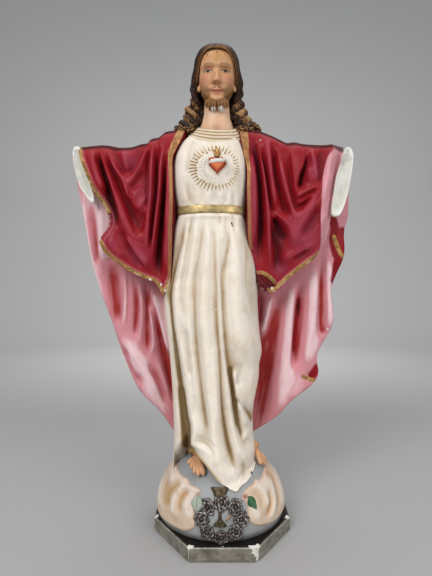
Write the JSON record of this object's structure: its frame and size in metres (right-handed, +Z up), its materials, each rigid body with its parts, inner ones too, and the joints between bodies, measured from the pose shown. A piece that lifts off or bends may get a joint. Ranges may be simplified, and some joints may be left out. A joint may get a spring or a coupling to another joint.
{
  "type": "sacred heart statue",
  "caption": "Painted plaster figure with a spread cloak and a heart in rays on its chest, standing on a clouded globe and a low eight-sided plinth.",
  "frame": {"origin": "centre of the plinth's underside", "axes": "+Z up the statue, -Y the way the figure faces, +X towards the figure's left hand"},
  "size_m": [0.472, 0.2342, 0.7975],
  "materials": {
    "cloak_red": "satin oil paint on plaster, worn at the edges",
    "lining_pink": "satin airbrushed oil paint on plaster",
    "robe_ivory": "satin oil paint on plaster, shaded in the furrows",
    "gilding": "worn bronze paint",
    "skin": "satin flesh paint on plaster",
    "hair_brown": "satin brown paint with golden dry brushing",
    "bare_plaster": "rough broken plaster",
    "globe_blue": "satin blue-grey paint",
    "cloud_peach": "satin cream and peach paint",
    "emblem_metal": "dark bronzed paint rubbed silver on the high points",
    "heart_red": "glossy red enamel",
    "leaf_green": "glossy green enamel",
    "plinth_paint": "dark paint with worn silver sides"
  },
  "bodies": {
    "root": {"statue": "cloak_red", "plinth": "plinth_paint"}
  },
  "joints": []
}
